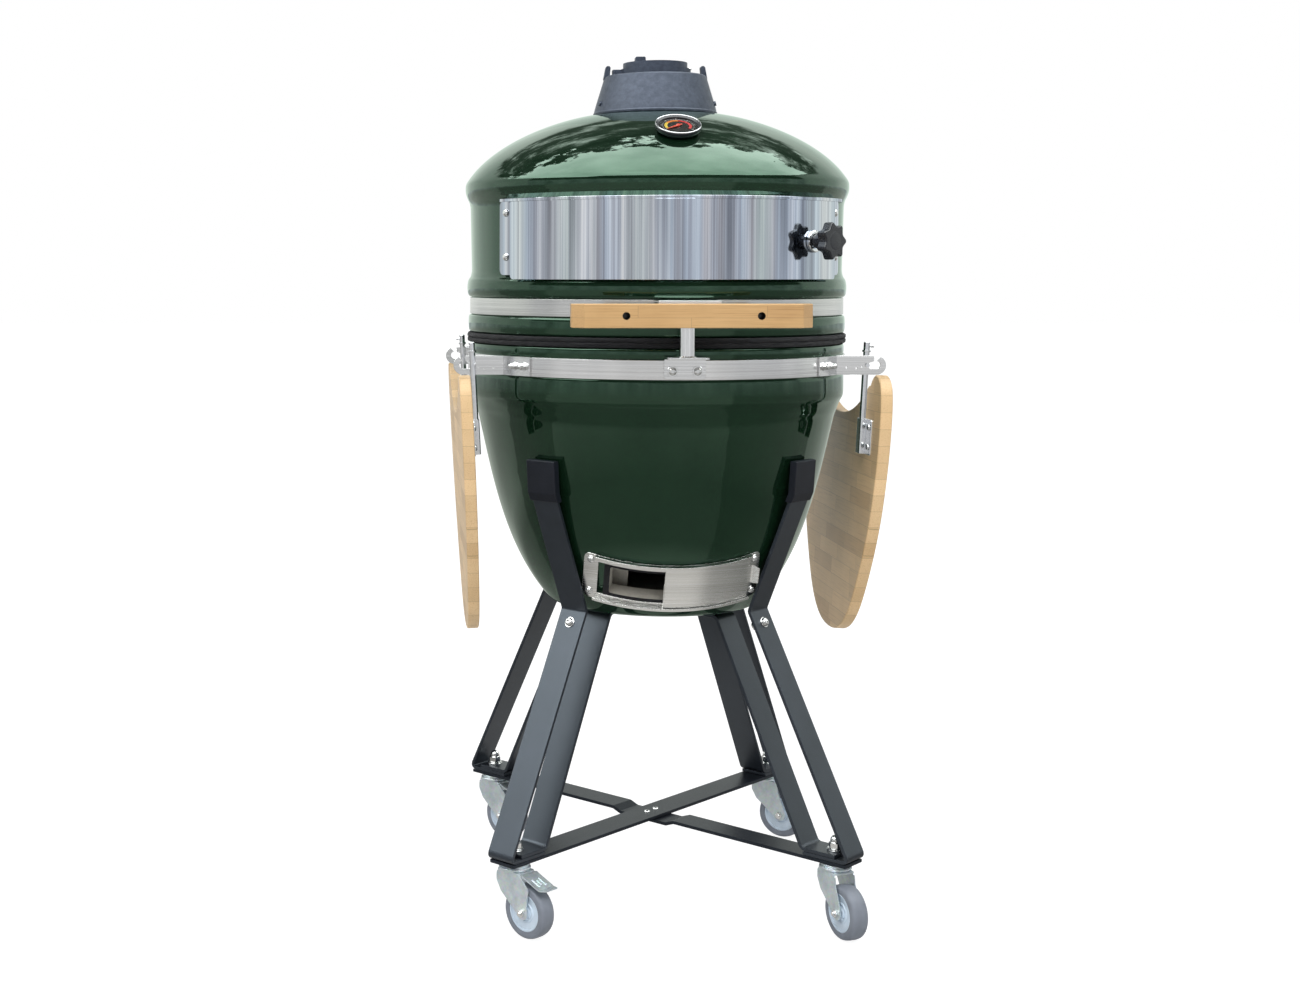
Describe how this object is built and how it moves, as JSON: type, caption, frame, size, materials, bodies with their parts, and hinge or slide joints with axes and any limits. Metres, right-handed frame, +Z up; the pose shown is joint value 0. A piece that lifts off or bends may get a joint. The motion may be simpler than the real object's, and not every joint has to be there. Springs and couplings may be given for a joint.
{
  "type": "ceramic kamado grill",
  "caption": "Egg-shaped ceramic charcoal grill on a steel cart with casters, with a hinged domed lid, round-sliding pizza door, top damper, draft door and folding side shelves.",
  "frame": {"origin": "on the floor under the ceramic body's vertical axis, which is also the middle of the bounding box's bottom", "axes": "+Z up; -Y is the front, with the handle, pizza door and draft door; +X is the right-hand shelf seen from the front"},
  "size_m": [0.617, 0.704, 1.2475],
  "materials": {
    "green_glaze": "deep green high-gloss glaze",
    "fireclay": "unglazed fireclay, dry and matt",
    "cast_iron": "black painted casting with a fine grain",
    "brushed_stainless": "stainless sheet, brushed along its length",
    "polished_stainless": "mirror-polished stainless sheet",
    "chrome": "bright plated or polished steel",
    "black_powder_coat": "satin black powder coat",
    "cap_rubber": "soft moulded rubber, matt",
    "black_felt": "black heat-proof felt",
    "bamboo": "laminated bamboo, oiled",
    "zinc_plate": "bright zinc plate, slightly cloudy",
    "grey_tyre": "grey rubber tread on a pale plastic hub",
    "black_plastic": "black phenolic, semi-gloss",
    "needle_red": "thin red-painted pointer",
    "cordierite": "pale cordierite baking stone, matt"
  },
  "bodies": {
    "base": {"base_bowl": "green_glaze", "fire_box": "fireclay", "fire_ring": "fireclay", "charcoal_grate": "cast_iron", "cooking_grid": "chrome", "pizza_stone": "cordierite", "lower_gasket": "black_felt", "lower_band": "brushed_stainless", "draft_door_frame": "brushed_stainless", "latch_post": "brushed_stainless", "hinge_lower_bracket": "brushed_stainless", "hinge_pin": "chrome", "cart_inner_frame_A": "black_powder_coat", "cart_inner_frame_B": "black_powder_coat", "cart_brace_straight": "black_powder_coat", "cart_brace_joggled": "black_powder_coat", "shelf_bracket_FL": "brushed_stainless", "cart_outer_leg_FL": "black_powder_coat", "arm_cap_FL": "cap_rubber", "shelf_bracket_FR": "brushed_stainless", "cart_outer_leg_FR": "black_powder_coat", "arm_cap_FR": "cap_rubber", "shelf_bracket_RL": "brushed_stainless", "cart_outer_leg_RL": "black_powder_coat", "arm_cap_RL": "cap_rubber", "shelf_bracket_RR": "brushed_stainless", "cart_outer_leg_RR": "black_powder_coat", "arm_cap_RR": "cap_rubber"},
    "lid": {"lid_dome": "green_glaze", "upper_gasket": "black_felt", "upper_band": "brushed_stainless", "damper_body": "cast_iron", "thermometer_case": "chrome", "pizza_door_frame": "polished_stainless", "handle_bar": "bamboo", "handle_bracket": "brushed_stainless", "hinge_upper_bracket": "brushed_stainless"},
    "damper_slide": {"damper_slide_disc": "cast_iron"},
    "damper_wheel": {"damper_wheel": "cast_iron"},
    "thermometer_needle": {"thermometer_needle": "needle_red"},
    "pizza_door": {"pizza_door_panel": "polished_stainless", "pizza_door_washer": "chrome"},
    "pizza_knob": {"pizza_door_knob": "black_plastic"},
    "draft_door": {"draft_door_panel": "brushed_stainless"},
    "shelf_left": {"shelf_board_left": "bamboo", "shelf_rod_FL": "chrome", "shelf_rod_RL": "chrome"},
    "shelf_right": {"shelf_board_right": "bamboo", "shelf_rod_FR": "chrome", "shelf_rod_RR": "chrome"},
    "fork_FL": {"caster_fork_FL": "zinc_plate"},
    "wheel_FL": {"caster_wheel_FL": "grey_tyre"},
    "fork_FR": {"caster_fork_FR": "zinc_plate"},
    "wheel_FR": {"caster_wheel_FR": "grey_tyre"},
    "fork_RL": {"caster_fork_RL": "zinc_plate"},
    "wheel_RL": {"caster_wheel_RL": "grey_tyre"},
    "fork_RR": {"caster_fork_RR": "zinc_plate"},
    "wheel_RR": {"caster_wheel_RR": "grey_tyre"},
    "pedal_FL": {"brake_pedal_FL": "zinc_plate"},
    "pedal_RL": {"brake_pedal_RL": "zinc_plate"}
  },
  "joints": [
    {"name": "lid_hinge", "type": "hinge", "parent": "base", "child": "lid", "pos_m": [0, 0.341, 0.833], "axis": [-1, 0, 0], "range_deg": [0, 70]},
    {"name": "damper_slide_pivot", "type": "hinge", "parent": "lid", "child": "damper_slide", "pos_m": [0.046, 0, 1.223], "axis": [0, 0, 1], "range_deg": [0, 55]},
    {"name": "damper_wheel_turn", "type": "hinge", "parent": "damper_slide", "child": "damper_wheel", "pos_m": [0, 0, 1.233], "axis": [0, 0, 1], "range_deg": [-36, 36]},
    {"name": "thermometer_needle_turn", "type": "hinge", "parent": "lid", "child": "thermometer_needle", "pos_m": [0, -0.21529, 1.12794], "axis": [0, 0.4756, -0.8796], "range_deg": [0, 240]},
    {"name": "pizza_door_slide", "type": "hinge", "parent": "lid", "child": "pizza_door", "pos_m": [0, 0, 0.97], "axis": [0, 0, -1], "range_deg": [0, 60]},
    {"name": "pizza_knob_turn", "type": "hinge", "parent": "pizza_door", "child": "pizza_knob", "pos_m": [0.18809, -0.21637, 0.967], "axis": [0.6561, -0.7547, 0], "range_deg": [0, 270]},
    {"name": "draft_door_slide", "type": "hinge", "parent": "base", "child": "draft_door", "pos_m": [0, 0.00603, 0.57712], "axis": [0, 0.4384, -0.8988], "range_deg": [0, 24.8]},
    {"name": "shelf_left_fold", "type": "hinge", "parent": "base", "child": "shelf_left", "pos_m": [-0.2815, 0, 0.7915], "axis": [0, 1, 0], "range_deg": [0, 93]},
    {"name": "shelf_right_fold", "type": "hinge", "parent": "base", "child": "shelf_right", "pos_m": [0.2815, 0, 0.7915], "axis": [0, -1, 0], "range_deg": [0, 93]},
    {"name": "swivel_FL", "type": "hinge", "parent": "base", "child": "fork_FL", "pos_m": [-0.2244, -0.2244, 0.09], "axis": [0, 0, 1], "continuous": true},
    {"name": "wheel_spin_FL", "type": "hinge", "parent": "fork_FL", "child": "wheel_FL", "pos_m": [-0.2053, -0.24488, 0.0375], "axis": [0.7314, 0.682, 0], "continuous": true},
    {"name": "brake_FL", "type": "hinge", "parent": "fork_FL", "child": "pedal_FL", "pos_m": [-0.20653, -0.24356, 0.089], "axis": [0.7314, 0.682, 0], "range_deg": [0, 8]},
    {"name": "swivel_FR", "type": "hinge", "parent": "base", "child": "fork_FR", "pos_m": [0.2244, -0.2244, 0.09], "axis": [0, 0, 1], "continuous": true},
    {"name": "wheel_spin_FR", "type": "hinge", "parent": "fork_FR", "child": "wheel_FR", "pos_m": [0.23352, -0.25087, 0.0375], "axis": [0.9455, 0.3256, 0], "continuous": true},
    {"name": "swivel_RL", "type": "hinge", "parent": "base", "child": "fork_RL", "pos_m": [-0.2244, 0.2244, 0.09], "axis": [0, 0, 1], "continuous": true},
    {"name": "wheel_spin_RL", "type": "hinge", "parent": "fork_RL", "child": "wheel_RL", "pos_m": [-0.2053, 0.20392, 0.0375], "axis": [0.7314, 0.682, 0], "continuous": true},
    {"name": "brake_RL", "type": "hinge", "parent": "fork_RL", "child": "pedal_RL", "pos_m": [-0.20653, 0.20524, 0.089], "axis": [0.7314, 0.682, 0], "range_deg": [0, 8]},
    {"name": "swivel_RR", "type": "hinge", "parent": "base", "child": "fork_RR", "pos_m": [0.2244, 0.2244, 0.09], "axis": [0, 0, 1], "continuous": true},
    {"name": "wheel_spin_RR", "type": "hinge", "parent": "fork_RR", "child": "wheel_RR", "pos_m": [0.24761, 0.20874, 0.0375], "axis": [0.5592, 0.829, 0], "continuous": true}
  ]
}
